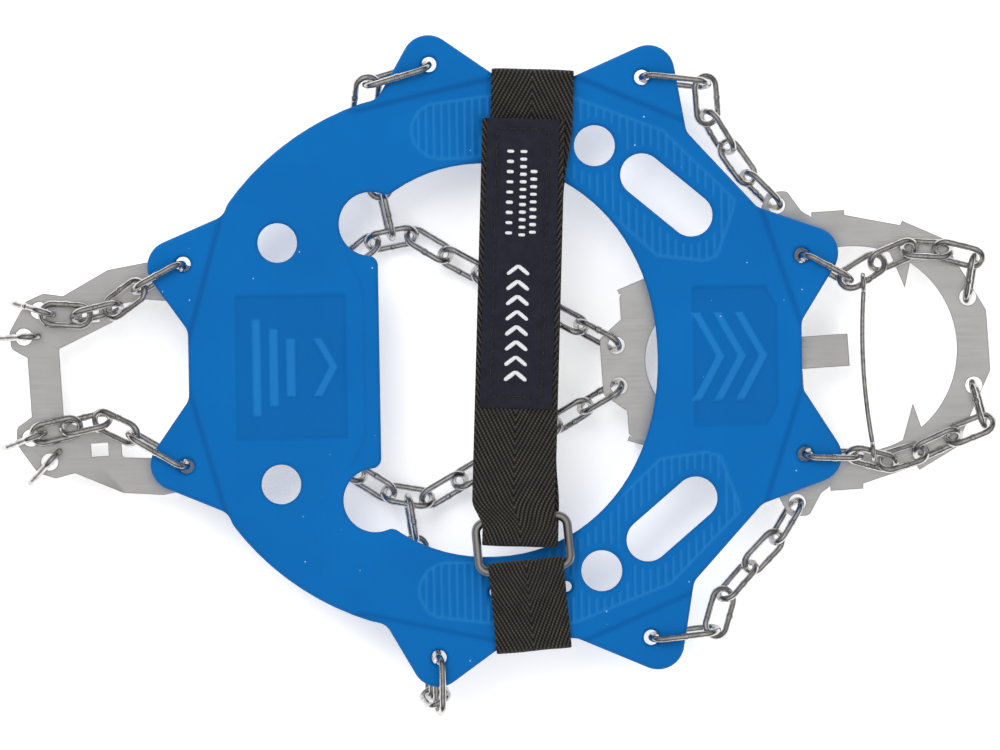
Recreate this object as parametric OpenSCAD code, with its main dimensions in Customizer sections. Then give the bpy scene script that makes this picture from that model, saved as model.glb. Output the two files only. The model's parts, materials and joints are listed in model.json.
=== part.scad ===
// Shoe ice cleat, laid flat: an elastomer harness carries chains, and the chains
// carry a heel plate and a front plate with bent-down teeth. Millimetres.
// +X points to the toe, +Z up, z = 0 is the plane of the tooth tips, and the
// origin is below the middle of the laid-flat part.

/* [Heights] */
// Underside of the steel plates above the tooth tips
plate_z = 10.5; // [10.5:0.1:10.7]
// Thickness of the steel plates
plate_t = 1.5; // [1.3:0.1:1.5]
// Underside of the harness above the tooth tips
harness_z = 20; // [20:0.05:20.2]
// Thickness of the harness
harness_t = 3; // [2.8:0.1:3]

/* [Harness] */
// Radius of the holes that hold the tab links
tab_hole_r = 2.8; // [2.7:0.05:3]
// Radius of the rounded tab tips
tab_tip_r = 8; // [7:0.5:8]
// Depth of the recessed panels
recess = 0.6; // [0.3:0.1:1]
// Radius of the rear pair of round vents
rear_vent_r = 6; // [5:0.1:6.5]
// Radius of the front pair of round vents
front_vent_r = 6.2; // [5:0.1:6.5]
// Radius of the ends of the long vents
slot_r = 6.5; // [5:0.1:6.5]

/* [Chain] */
// Diameter of the link wire
wire = 2; // [1.8:0.05:2]
// Length of a link between the centres of its end wires
link_l = 15; // [15:0.05:15.1]
// Width of a link between the centres of its side wires
link_w = 7; // [7:0.1:7.2]
// The same width of a tab link
tab_link_w = 7.6; // [7.6:0.05:7.7]
// Centre length of the long tab links
tab_link_long = 20.4; // [20.3:0.05:20.5]
// Centre length of the short tab links
tab_link_short = 17; // [16.9:0.05:17.1]
// Radius of the plates' chain holes
eye_r = 2.6; // [2.5:0.05:2.7]

/* [Strap] */
// Width of the webbing
web_w = 24.5; // [23:0.1:24.8]
// Thickness of the webbing
web_t = 1.2; // [1:0.05:1.25]
// Diameter of the ring's wire
ring_wire = 2.7; // [2.4:0.1:2.8]
// Width of the label
label_w = 22; // [18:0.5:23]
// Length of the label
label_l = 88; // [70:1:92]

/* [Toe wire] */
// Diameter of the toe wire
toe_wire_d = 1.5; // [1.3:0.1:1.6]

/* [Hidden] */
$fn = 48;

steel = [0.72, 0.71, 0.68];
chain_steel = [0.66, 0.66, 0.66];
blue = [0.0, 0.44, 0.74];
black = [0.11, 0.11, 0.12];

// Pieces are drawn about the harness's centre line, then moved to the part's origin
drawn_at = [1.9, 4.5];
module placed() {
    translate([drawn_at[0], drawn_at[1], 0]) children();
}

// Clearance left between two pieces that lie on each other
gap = 0.1;
cut = 1;
wire_r = wire / 2;
plate_mid = plate_z + plate_t / 2;
harness_top = harness_z + harness_t;
tab_mid = harness_z + harness_t / 2;

// Places of the tab holes: front, side-front, side-rear and rear, each mirrored in y
tab_holes = [[92.2, 30.2], [44.5, 85.1], [-20.1, 90.1], [-95.8, 30.7]];
function mirrored(p) = [p[0], -p[1]];

// ---------- frames of the two plates ----------
plate_turn = 3;
front_origin = [35.8, -2.4];
heel_origin = [-138.8, -5.65];
function turned(p, a) = [p[0] * cos(a) - p[1] * sin(a), p[0] * sin(a) + p[1] * cos(a)];
function on_front(p) = front_origin + turned(p, plate_turn);
function on_heel(p) = heel_origin + turned(p, plate_turn);
function at_z(p, z) = [p[0], p[1], z];

front_rear_eye = [0, 6.2];
front_side_eye = [51.6, 45.4];
front_toe_eye = [107.7, 13.45];
heel_outer_eye = [0, 23.1];
heel_inner_eye = [-5.2, 15.4];
heel_front_eye = [66, 14];

// ---------- chain runs ----------
// A run is a list of pivots. Neighbouring links meet at a pivot, and each link
// reaches the same distance past both of its pivots.
tab_lift = 0.5;
tab_drop = 1.6;
tab_overhang = 0.9;
tab_roll = 75;
pivot_z = tab_mid + tab_lift - tab_drop;

function unit(v) = v / norm(v);
// Outer pivot of a tab link of centre length l that points along angle a from tab hole h
function tab_pivot(h, a, l, overhang = tab_overhang) =
    let(reach = l - overhang, plan = sqrt(reach * reach - tab_drop * tab_drop))
    at_z(h + plan * [cos(a), sin(a)], pivot_z);
// Inner pivot of that link, as far from its end wire as the outer one
function tab_inner(outer, a, l, overhang) =
    let(span = l - 2 * overhang, rise = span * tab_drop / (l - overhang))
    let(plan = sqrt(span * span - rise * rise))
    outer - [plan * cos(a), plan * sin(a), -rise];

// Far pivot of a link that hangs in a plate's eye: its end wire crosses the eye off-centre
eye_overhang = 0.8;
function eye_pivot(previous, eye) =
    let(v = at_z(eye, plate_mid) - previous)
    previous + (2 * (norm(v) + eye_overhang) - link_l) * unit(v);
function with_eye(points, eye) = concat(points, [eye_pivot(points[len(points) - 1], eye)]);

rear_left_a = 208;
rear_left_pivots = [
    tab_pivot(tab_holes[3], rear_left_a, tab_link_short), [-117.6, 17.8, 17], [-127.2, 15.6, 17],
    [-136.5, 16.3, 16.9]
];
rear_right_a = 149;
rear_right_pivots = [
    tab_pivot(mirrored(tab_holes[3]), rear_right_a, tab_link_long), [-121.6, -16.2, 17],
    [-130.9, -18.2, 17], [-139.8, -20.1, 16.9]
];
side_rear_left_a = 196;
side_rear_left_pivots = [
    tab_pivot(tab_holes[2], side_rear_left_a, tab_link_long), [-40, 75.6, 15.4], [-37.6, 63.6, 11.6],
    [-35.2, 51.2, 9.6], [-32.6, 38.9, 8.3]
];
// This run doubles back under the harness, so its first link sits far inside the tab link
side_rear_right_a = 270;
folded_overhang = 3.2;
side_rear_right_pivots = [
    tab_pivot(mirrored(tab_holes[2]), side_rear_right_a, tab_link_short, folded_overhang),
    [-23, -100, 6.6], [-23.5, -91.5, 5.2], [-24.6, -79.3, 5.4], [-25.8, -67.1, 5.4],
    [-27, -54.9, 6.8], [-28.7, -42.1, 8.3]
];
side_front_left_a = -7;
side_front_left_pivots = with_eye([
    tab_pivot(tab_holes[1], side_front_left_a, tab_link_long), [64.4, 73.2, 18.1], [70.2, 63.4, 14.8],
    [76.4, 54.4, 13.4]
], on_front(front_side_eye));
side_front_right_a = 6;
side_front_right_pivots = with_eye([
    tab_pivot(mirrored(tab_holes[1]), side_front_right_a, tab_link_long), [66.9, -72.9, 18.1],
    [75, -64, 14.8], [83.2, -55.6, 13.4]
], on_front(mirrored(front_side_eye)));
front_left_a = -29;
front_left_pivots = with_eye([
    tab_pivot(tab_holes[0], front_left_a, tab_link_short), [114.8, 27.6, 18.1], [125.2, 31.8, 16],
    [135.5, 31, 16.5], [144.6, 28.6, 16.3]
], on_front(front_toe_eye));
front_right_a = -2;
front_right_pivots = with_eye([
    tab_pivot(mirrored(tab_holes[0]), front_right_a, tab_link_short), [116.8, -33.2, 18.1],
    [127, -30.2, 16], [138.2, -25.3, 15.8], [146.9, -22, 16.3]
], on_front(mirrored(front_toe_eye)));
// The two junction links lie in line with the inner chains
junction_left_ends = [[-38.6, 36.4, 6], [-26.2, 38.6, 6]];
junction_right_ends = [[-35, -39.8, 6], [-22.6, -42, 6]];
heel_left_pivots = with_eye([
    junction_left_ends[0], [-47, 29.9, 6], [-55.3, 24.2, 6.4], [-63.8, 18.5, 8.2]
], on_heel(heel_front_eye));
heel_right_pivots = with_eye([
    junction_right_ends[0], [-44, -34, 6], [-53, -28.3, 6.4], [-61.9, -22.7, 8.2]
], on_heel(mirrored(heel_front_eye)));
middle_left_pivots = with_eye([
    junction_left_ends[1], [-16, 32.2, 6], [-5.8, 26.5, 6], [4.4, 20.9, 6.2], [14.5, 15.3, 7],
    [24.7, 9.7, 8.6]
], on_front(front_rear_eye));
middle_right_pivots = with_eye([
    junction_right_ends[1], [-13, -36.5, 6], [-3.3, -31, 6], [6.3, -25.5, 6.2], [16, -20.1, 7],
    [25.5, -14.6, 8.6]
], on_front(mirrored(front_rear_eye)));

// Roll of a run's first link, of a link in a plate's eye, and of a junction
rear_left_roll = 25;
rear_right_roll = -35;
side_rear_roll = 10;
side_front_roll = 35;
side_front_first_roll = 23;
front_roll = 50;
front_left_first_roll = 25;
eye_roll = 62;
toe_eye_roll = 80;
junction_roll = 45;
// Roll of link i in a run: neighbours stand square to each other
function run_roll(i, first) = i % 2 == 0 ? first : first - 90 * sign(first);

// ---------- small shapes ----------
module mirror_y() {
    children();
    mirror([0, 1, 0]) children();
}

module mirror_2d() {
    children();
    mirror([0, 1]) children();
}

// Link in the XY plane, long along X, centred on the origin
module link(l, w) {
    straight = l - w;
    for (side = [-1, 1])
        translate([0, side * w / 2, 0]) rotate([0, 90, 0]) cylinder(r = wire_r, h = straight, center = true);
    for (turn = [-90, 90])
        rotate([0, 0, turn]) translate([0, straight / 2, 0])
            rotate_extrude(angle = 180) translate([w / 2, 0]) circle(wire_r);
}

// Link whose pivots are a and b, rolled about its own length
module link_between(a, b, roll, l = link_l, w = link_w) {
    d = b - a;
    translate((a + b) / 2)
        rotate([roll, -atan2(d[2], norm([d[0], d[1]])), atan2(d[1], d[0])]) link(l, w);
}

// Links first to last of a run. The run's final link may hang in a plate's eye, with its own roll.
module run_links(pivots, first, last, roll, final_roll = 0) {
    color(chain_steel)
        for (i = [first : last]) {
            own_roll = run_roll(i, roll);
            hung = final_roll > 0 && i == len(pivots) - 2;
            link_between(pivots[i], pivots[i + 1], hung ? sign(own_roll) * final_roll : own_roll);
        }
}

module tab_link(outer, a, l, side, overhang = tab_overhang) {
    color(chain_steel)
        link_between(tab_inner(outer, a, l, overhang), outer, side * tab_roll, l, tab_link_w);
}

module junction(ends, roll) {
    color(chain_steel) link_between(ends[0], ends[1], roll);
}

// Steel tooth bent down from a plate's edge a to b, with its outer face on that edge.
// The tooth ends in `tips` points.
module tooth(a, b, tips = 2) {
    d = b - a;
    w = norm(d);
    flank = 0.12 * w;
    root_h = 3.5;
    tip_h = plate_z + plate_t;
    step = (w - 2 * flank) / tips;
    profile = concat(
        [[0, tip_h], [w, tip_h], [w, tip_h - root_h]],
        [for (i = [tips - 1 : -1 : 0], k = [1, 0])
            k == 1 ? [flank + (i + 0.78) * step, 0] : [flank + (i + 0.22) * step, 0]],
        [[0, tip_h - root_h]]
    );
    notch_h = 4;
    translate([a[0], a[1], 0]) rotate([0, 0, atan2(d[1], d[0])]) rotate([90, 0, 0])
        translate([0, 0, -plate_t]) difference() {
            linear_extrude(plate_t) polygon(profile);
            for (i = [1 : 1 : tips - 1])
                translate([flank + i * step, 0, -cut]) linear_extrude(plate_t + 2 * cut)
                    polygon([[-0.28 * step, -cut], [0, notch_h], [0.28 * step, -cut]]);
        }
}

// ---------- harness ----------
ring_c = [-15.3, 0];
ring_r = 82.7;
ring_arc = [for (a = [144 : -4 : 108]) ring_c + ring_r * [cos(a), sin(a)]];
harness_half = concat(
    [[-94.7, 0], [-94.7, 10.5], [-111, 33.6], [-83.4, 45.2]],
    ring_arc,
    [[-36, 79.8], [-22.9, 102.7], [2, 85], [22, 85], [52.7, 98.3], [57.8, 68.4], [79, 45.1], [107.4, 35],
     [91.8, 10.2], [91.8, 0]]
);
valley_r = 5;
opening_c = [-4, 0];
opening_rx = 51.9;
opening_ry = 59.8;
opening_power = 2.1;
panel_edge_x = -36.6;
notch_c = [-38.6, 42];
notch_r = 9.7;
corner_r = 3;

module harness_outline() {
    offset(r = -valley_r) offset(delta = valley_r)
        offset(r = tab_tip_r) offset(delta = -tab_tip_r) {
            polygon(harness_half);
            mirror([0, 1]) polygon(harness_half);
        }
}

// Power of a cosine or sine that keeps its sign
function signed_pow(v, n) = sign(v) * pow(abs(v), n);
opening_points = [for (a = [0 : 4 : 356])
    opening_c + [opening_rx * signed_pow(cos(a), 2 / opening_power),
                 opening_ry * signed_pow(sin(a), 2 / opening_power)]];

module harness_opening() {
    offset(r = corner_r) offset(delta = -corner_r) offset(r = -corner_r) offset(delta = corner_r) {
        intersection() {
            polygon(opening_points);
            translate([panel_edge_x, -100]) square([200, 200]);
        }
        for (s = [-1, 1])
            translate([notch_c[0], s * notch_c[1]]) circle(notch_r);
    }
}

slot_a = [44, 55.5];
slot_b = [58.8, 43];
module long_vent() {
    hull()
        for (p = [slot_a, slot_b])
            translate(p) circle(slot_r);
}

rear_panel = [[-81, -24], [-46, 21.5]];
front_panel = [[58, -22], [81, -22], [85, -15], [85, 15], [81, 22], [58, 22]];
rear_vent_c = [-67.1, 36.7];
front_vent_c = [29.8, 64.6];
// Slot on each side band that the strap's webbing passes through
web_slot_c = [7.4, 69.9];
web_slot_l = 26.4;
web_slot_w = 3.2;
web_slot_lean = -3.5;
module web_slot() {
    end = (web_slot_l - web_slot_w) / 2;
    translate(web_slot_c) rotate(web_slot_lean)
        hull()
            for (s = [-1, 1])
                translate([s * end, 0]) circle(d = web_slot_w);
}

module harness() {
    color(blue) translate([0, 0, harness_z]) difference() {
        linear_extrude(harness_t) difference() {
            harness_outline();
            harness_opening();
            mirror_2d() {
                long_vent();
                web_slot();
            }
        }
        mirror_y() {
            for (h = tab_holes)
                translate([h[0], h[1], -cut]) cylinder(r = tab_hole_r, h = harness_t + 2 * cut);
            translate([rear_vent_c[0], rear_vent_c[1], -cut])
                cylinder(r = rear_vent_r, h = harness_t + 2 * cut);
            translate([front_vent_c[0], front_vent_c[1], -cut])
                cylinder(r = front_vent_r, h = harness_t + 2 * cut);
        }
        translate([rear_panel[0][0], rear_panel[0][1], harness_t - recess])
            cube([rear_panel[1][0] - rear_panel[0][0], rear_panel[1][1] - rear_panel[0][1], recess + cut]);
        translate([0, 0, harness_t - recess]) linear_extrude(recess + cut) polygon(front_panel);
    }
}

// ---------- strap ----------
// The upper strap leans: its frame has its origin on the harness's left band
upper_origin = [10.8, 73];
upper_lean = -2.53;
band_y = 14;
// The webbing's inner leg, where it passes through the slot
upper_leg_y = -3.25;
upper_leg_x = -1.6;
upper_leg_w = 20.8;
web_z = harness_top + 0.3;
under_z = harness_z - 0.3;
fold_y = -127.2;
// The ring pinches the webbing: its last stretch and its fold are narrower
fold_w = 22.6;
pinch_y = -115;
flap_z = web_z + web_t + 1.1;
bar_z = 26.1;
over_bar_z = bar_z + ring_wire / 2 + 0.15;
flap_start_y = -125;
slope_y = [-112, -104];
flap_end_y = 0;
flap_shift = -2.4;
pad_l = 84;

// Moves a profile drawn as [y, z] into the strap's upper frame, w wide and centred on x
module upper_strip(w, x = 0) {
    translate([upper_origin[0], upper_origin[1], 0]) rotate([0, 0, upper_lean])
        translate([x - w / 2, 0, 0]) rotate([90, 0, 90]) linear_extrude(w) children();
}

// Webbing loop round the left band, the layer that runs down to the ring, and its fold
module strap_web() {
    fold_z = (web_z + over_bar_z + web_t) / 2;
    fold_r = (over_bar_z + web_t - web_z) / 2;
    leg_z = under_z - web_t;
    color(black) {
        upper_strip(web_w) difference() {
            translate([upper_leg_y - web_t / 2, leg_z])
                square([band_y - upper_leg_y + 1.5 * web_t, web_z + web_t - leg_z]);
            translate([upper_leg_y - web_t, under_z])
                square([band_y - upper_leg_y + web_t, web_z - under_z]);
        }
        upper_strip(upper_leg_w, upper_leg_x)
            translate([upper_leg_y - web_t / 2, leg_z]) square([web_t, web_z + web_t - leg_z]);
        upper_strip(web_w)
            translate([pinch_y, web_z]) square([band_y - pinch_y, web_t]);
        upper_strip(fold_w) {
            translate([fold_y, web_z]) square([pinch_y + cut - fold_y, web_t]);
            difference() {
                translate([fold_y, fold_z]) circle(fold_r);
                translate([fold_y, fold_z]) circle(fold_r - web_t);
                translate([fold_y, web_z - cut]) square(4 * fold_r);
            }
        }
    }
}

// Flap that folds back over the ring's bar, pinched between the ring's sides
module strap_flap() {
    color(black) {
        upper_strip(fold_w) translate([flap_start_y, over_bar_z])
            square([pinch_y + cut - flap_start_y, web_t]);
        upper_strip(web_w, flap_shift) polygon([
            [pinch_y, over_bar_z], [slope_y[0], over_bar_z], [slope_y[1], flap_z], [flap_end_y, flap_z],
            [flap_end_y, flap_z + web_t], [slope_y[1], flap_z + web_t], [slope_y[0], over_bar_z + web_t],
            [pinch_y, over_bar_z + web_t]
        ]);
    }
}

// Hook side of the closure, sewn under the flap
module hook_pad() {
    color(black) upper_strip(label_w, flap_shift)
        translate([flap_end_y - cut - pad_l, web_z + web_t + gap])
            square([pad_l, flap_z - web_z - web_t - 2 * gap]);
}

label_t = 0.8;
module label_patch() {
    color(black) upper_strip(label_w, flap_shift)
        translate([flap_end_y - label_l, flap_z + web_t + gap / 2]) square([label_l, label_t]);
}

// Ring frame: origin in the ring's middle
ring_origin = [6, -56];
ring_lean = 4.5;
ring_x = 30.6;
ring_y = 18;
ring_corner_r = 3.2;
module in_ring_frame() {
    translate([ring_origin[0], ring_origin[1], 0]) rotate([0, 0, ring_lean]) children();
}

module strap_ring() {
    half_x = ring_x / 2 - ring_wire / 2;
    half_y = ring_y / 2 - ring_wire / 2;
    straight_x = 2 * (half_x - ring_corner_r);
    straight_y = 2 * (half_y - ring_corner_r);
    color(steel) in_ring_frame() translate([0, 0, bar_z]) {
        for (s = [-1, 1]) {
            translate([0, s * half_y, 0]) rotate([0, 90, 0])
                cylinder(d = ring_wire, h = straight_x, center = true);
            translate([s * half_x, 0, 0]) rotate([90, 0, 0])
                cylinder(d = ring_wire, h = straight_y, center = true);
        }
        for (q = [0 : 3]) {
            sx = (q == 0 || q == 3) ? 1 : -1;
            sy = q < 2 ? 1 : -1;
            translate([sx * straight_x / 2, sy * straight_y / 2, 0]) rotate([0, 0, 90 * q])
                rotate_extrude(angle = 90) translate([ring_corner_r, 0]) circle(d = ring_wire);
        }
    }
}

// Short loop that holds the ring's lower bar and passes through the right band's slot
lower_outer_y = -31.6;
lower_leg_y = -13.97;
lower_w = 22.4;
lower_shift = 0.3;
module strap_lower_loop() {
    bar_y = -(ring_y - ring_wire) / 2;
    bar_clear = ring_wire / 2 + 0.3;
    leg_z = under_z - web_t;
    leg_inner = lower_leg_y + web_t / 2;
    color(black) in_ring_frame() translate([lower_shift - lower_w / 2, 0, 0]) rotate([90, 0, 90])
        linear_extrude(lower_w) difference() {
            union() {
                translate([lower_outer_y - web_t, leg_z])
                    square([leg_inner - lower_outer_y + web_t, web_z + web_t - leg_z]);
                translate([leg_inner - cut, web_z]) square([bar_y - leg_inner + cut, 1.6 * web_t]);
                translate([bar_y, bar_z]) circle(bar_clear + web_t);
            }
            translate([lower_outer_y, under_z])
                square([leg_inner - web_t - lower_outer_y, web_z - under_z]);
            translate([bar_y, bar_z]) circle(bar_clear);
        }
}

// ---------- plates ----------
front_rear_c = [27.4, 0];
front_rear_r = 19;
front_toe_c = [72, 0];
front_toe_r = 31.4;
crossbar_x = 56;
tongue_w = 9.8;
tongue_x = 70.4;
ear_r = 5.6;
front_half = [
    [-5, 0], [-5, 8.5], [1.9, 14], [1.9, 21.6], [11.7, 25], [30, 30], [46, 43], [49, 49.5], [55, 49.5],
    [59, 43], [62, 41], [72, 41], [88.7, 36.7], [102.2, 29.7], [113, 9.2], [113, 0]
];
front_teeth = [
    [[11.7, 25], [1.9, 21.6]], [[72, 41], [62, 41]], [[102.2, 29.7], [88.7, 36.7]]
];
barb = [[84.5, 30], [88.8, 17.6], [91.4, 27]];

module front_plate_flat() {
    difference() {
        offset(r = 2) offset(delta = -2) mirror_2d() polygon(front_half);
        translate(front_rear_c) circle(front_rear_r);
        difference() {
            translate(front_toe_c) circle(front_toe_r);
            translate([0, -50]) square([crossbar_x, 100]);
            translate([0, -tongue_w / 2]) square([tongue_x, tongue_w]);
            mirror_2d() polygon(barb);
        }
    }
}

module drill(p, r) {
    translate([p[0], p[1], plate_z - cut]) cylinder(r = r, h = plate_t + 2 * cut);
}

module front_plate() {
    color(steel) translate([front_origin[0], front_origin[1], 0]) rotate([0, 0, plate_turn]) {
        difference() {
            translate([0, 0, plate_z]) linear_extrude(plate_t) front_plate_flat();
            mirror_y()
                for (p = [front_rear_eye, front_side_eye, front_toe_eye])
                    drill(p, eye_r);
        }
        mirror_y()
            for (t = front_teeth)
                tooth(t[1], t[0]);
        tooth([113, -9.2], [113, 9.2], 3);
        tooth([tongue_x, -tongue_w / 2], [tongue_x, tongue_w / 2], 1);
    }
}

heel_half = [
    [-4.5, 0], [-4.5, 9], [-9.2, 12], [-9.6, 17], [-3.8, 26.2], [1.5, 28.2], [7.5, 27], [21.7, 34],
    [34, 35.5], [50, 33], [66, 22], [71, 12], [71, 0]
];
heel_hole_half = [
    [5.2, 0], [5.2, 11], [22.2, 18.1], [22.2, 23.2], [33, 24.2], [48, 22], [59, 8], [59, 0]
];
heel_window = [12.9, 18.4];
heel_window_size = [5.2, 4];
module heel_plate() {
    color(steel) translate([heel_origin[0], heel_origin[1], 0]) rotate([0, 0, plate_turn]) {
        difference() {
            translate([0, 0, plate_z]) linear_extrude(plate_t) difference() {
                offset(r = 2) offset(delta = -2) mirror_2d() polygon(heel_half);
                offset(r = 1) offset(delta = -1) mirror_2d() polygon(heel_hole_half);
                mirror_2d() translate(heel_window) square(heel_window_size);
            }
            mirror_y()
                for (p = [heel_outer_eye, heel_inner_eye, heel_front_eye])
                    drill(p, eye_r);
        }
        mirror_y() {
            tooth([21.7, 34], [7.5, 27]);
            tooth([46, 33.75], [36, 35.25]);
        }
        tooth([-4.5, 6.5], [-4.5, -6.5]);
        tooth([71, -8], [71, 8]);
    }
}

// Both heel links of one corner: each leans through its eye, its inner end above the plate
heel_link_lean = 40.3;
heel_link_out = 2.05;
heel_link_z = plate_mid + 2.85;
heel_links = [[heel_outer_eye, 163, 226], [heel_inner_eye, 182, 200]];
module heel_link(p, a) {
    eye = on_heel(p);
    color(chain_steel)
        translate([eye[0] + heel_link_out * cos(a), eye[1] + heel_link_out * sin(a), heel_link_z])
            rotate([90, heel_link_lean, a]) link(link_l, link_w);
}

// ---------- toe wire ----------
// Bowed wire across the toe, with an eye round a side wire of the link next to each front tab link
toe_eye_r = 2.4;
toe_bow = 1.4;
// Point on a side wire of the link between pivots a and b, `along` mm from its middle
function side_wire(a, b, roll, side, along) =
    let(d = unit(b - a), h = unit([-d[1], d[0], 0]), v = cross(d, h))
    (a + b) / 2 + along * d + side * link_w / 2 * (cos(roll) * h + sin(roll) * v);
toe_left = side_wire(front_left_pivots[0], front_left_pivots[1], -front_left_first_roll, -1, -2);
toe_right = side_wire(front_right_pivots[0], front_right_pivots[1], front_roll, 1, -1);
module toe_wire() {
    span = toe_right - toe_left;
    pitch = -atan2(span[2], norm([span[0], span[1]]));
    reach = norm(span) / 2 - toe_eye_r;
    bow_r = (reach * reach + toe_bow * toe_bow) / (2 * toe_bow);
    swing = asin(reach / bow_r);
    color(chain_steel) translate((toe_left + toe_right) / 2) rotate([0, pitch, atan2(span[1], span[0])]) {
        translate([0, bow_r - toe_bow, 0]) rotate([0, 0, 270 - swing])
            rotate_extrude(angle = 2 * swing) translate([bow_r, 0]) circle(d = toe_wire_d);
        for (s = [-1, 1])
            translate([s * norm(span) / 2, 0, 0]) rotate([90, 0, 0])
                rotate_extrude() translate([toe_eye_r, 0]) circle(d = toe_wire_d);
    }
}

placed() harness();
placed() strap_web();
placed() strap_lower_loop();
placed() strap_flap();
placed() hook_pad();
placed() label_patch();
placed() strap_ring();
placed() front_plate();
placed() heel_plate();
placed() toe_wire();

// Rear left run
placed() tab_link(rear_left_pivots[0], rear_left_a, tab_link_short, -1);  // tab_link_rear_left
placed() run_links(rear_left_pivots, 0, 0, rear_left_roll);  // chain_rear_left_1
placed() run_links(rear_left_pivots, 1, 1, rear_left_roll);  // chain_rear_left_2
placed() run_links(rear_left_pivots, 2, 2, rear_left_roll);  // chain_rear_left_3
placed() for (h = heel_links) heel_link(h[0], h[1]);  // heel_links_left

// Rear right run
placed() tab_link(rear_right_pivots[0], rear_right_a, tab_link_long, 1);  // tab_link_rear_right
placed() run_links(rear_right_pivots, 0, 0, rear_right_roll);  // chain_rear_right_1
placed() run_links(rear_right_pivots, 1, 1, rear_right_roll);  // chain_rear_right_2
placed() run_links(rear_right_pivots, 2, 2, rear_right_roll);  // chain_rear_right_3
placed() for (h = heel_links) heel_link(mirrored(h[0]), h[2]);  // heel_links_right

// Side-rear left run, its junction, and the inner chains on both sides of the junction
placed() tab_link(side_rear_left_pivots[0], side_rear_left_a, tab_link_long, 1);  // tab_link_side_rear_left
placed() run_links(side_rear_left_pivots, 0, 1, -side_rear_roll);  // chain_side_rear_left_1
placed() run_links(side_rear_left_pivots, 2, 3, -side_rear_roll);  // chain_side_rear_left_2
placed() junction(junction_left_ends, junction_roll);  // junction_left
placed() run_links(heel_left_pivots, 2, 3, junction_roll, eye_roll);  // chain_heel_left_1
placed() run_links(heel_left_pivots, 0, 1, junction_roll, eye_roll);  // chain_heel_left_2
placed() run_links(middle_left_pivots, 0, 1, -junction_roll, eye_roll);  // chain_middle_left_1
placed() run_links(middle_left_pivots, 2, 3, -junction_roll, eye_roll);  // chain_middle_left_2
placed() run_links(middle_left_pivots, 4, 5, -junction_roll, eye_roll);  // chain_middle_left_3

// Side-rear right run, its junction, and the inner chains on both sides of the junction
placed() tab_link(side_rear_right_pivots[0], side_rear_right_a, tab_link_short, 1, folded_overhang);  // tab_link_side_rear_right
placed() run_links(side_rear_right_pivots, 0, 1, side_rear_roll);  // chain_side_rear_right_1
placed() run_links(side_rear_right_pivots, 2, 3, side_rear_roll);  // chain_side_rear_right_2
placed() run_links(side_rear_right_pivots, 4, 5, side_rear_roll);  // chain_side_rear_right_3
placed() junction(junction_right_ends, -junction_roll);  // junction_right
placed() run_links(heel_right_pivots, 2, 3, -junction_roll, eye_roll);  // chain_heel_right_1
placed() run_links(heel_right_pivots, 0, 1, -junction_roll, eye_roll);  // chain_heel_right_2
placed() run_links(middle_right_pivots, 0, 1, junction_roll, eye_roll);  // chain_middle_right_1
placed() run_links(middle_right_pivots, 2, 3, junction_roll, eye_roll);  // chain_middle_right_2
placed() run_links(middle_right_pivots, 4, 5, junction_roll, eye_roll);  // chain_middle_right_3

// Side-front left run
placed() tab_link(side_front_left_pivots[0], side_front_left_a, tab_link_long, 1);  // tab_link_side_front_left
placed() run_links(side_front_left_pivots, 0, 0, -side_front_first_roll);  // chain_side_front_left_1
placed() run_links(side_front_left_pivots, 1, 1, -side_front_roll, eye_roll);  // chain_side_front_left_2
placed() run_links(side_front_left_pivots, 2, 2, -side_front_roll, eye_roll);  // chain_side_front_left_3
placed() run_links(side_front_left_pivots, 3, 3, -side_front_roll, eye_roll);  // chain_side_front_left_4

// Side-front right run
placed() tab_link(side_front_right_pivots[0], side_front_right_a, tab_link_long, -1);  // tab_link_side_front_right
placed() run_links(side_front_right_pivots, 0, 0, side_front_first_roll);  // chain_side_front_right_1
placed() run_links(side_front_right_pivots, 1, 1, side_front_roll, eye_roll);  // chain_side_front_right_2
placed() run_links(side_front_right_pivots, 2, 2, side_front_roll, eye_roll);  // chain_side_front_right_3
placed() run_links(side_front_right_pivots, 3, 3, side_front_roll, eye_roll);  // chain_side_front_right_4

// Front left run
placed() tab_link(front_left_pivots[0], front_left_a, tab_link_short, 1);  // tab_link_front_left
placed() run_links(front_left_pivots, 0, 0, -front_left_first_roll);  // chain_front_left_1
placed() run_links(front_left_pivots, 1, 1, -front_roll, toe_eye_roll);  // chain_front_left_2
placed() run_links(front_left_pivots, 2, 2, -front_roll, toe_eye_roll);  // chain_front_left_3
placed() run_links(front_left_pivots, 3, 4, -front_roll, toe_eye_roll);  // chain_front_left_4

// Front right run
placed() tab_link(front_right_pivots[0], front_right_a, tab_link_short, -1);  // tab_link_front_right
placed() run_links(front_right_pivots, 0, 0, front_roll, toe_eye_roll);  // chain_front_right_1
placed() run_links(front_right_pivots, 1, 1, front_roll, toe_eye_roll);  // chain_front_right_2
placed() run_links(front_right_pivots, 2, 2, front_roll, toe_eye_roll);  // chain_front_right_3
placed() run_links(front_right_pivots, 3, 4, front_roll, toe_eye_roll);  // chain_front_right_4
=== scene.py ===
"""Shoe ice cleat, laid flat: moulded harness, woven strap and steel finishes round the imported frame."""
import json
import math

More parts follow.
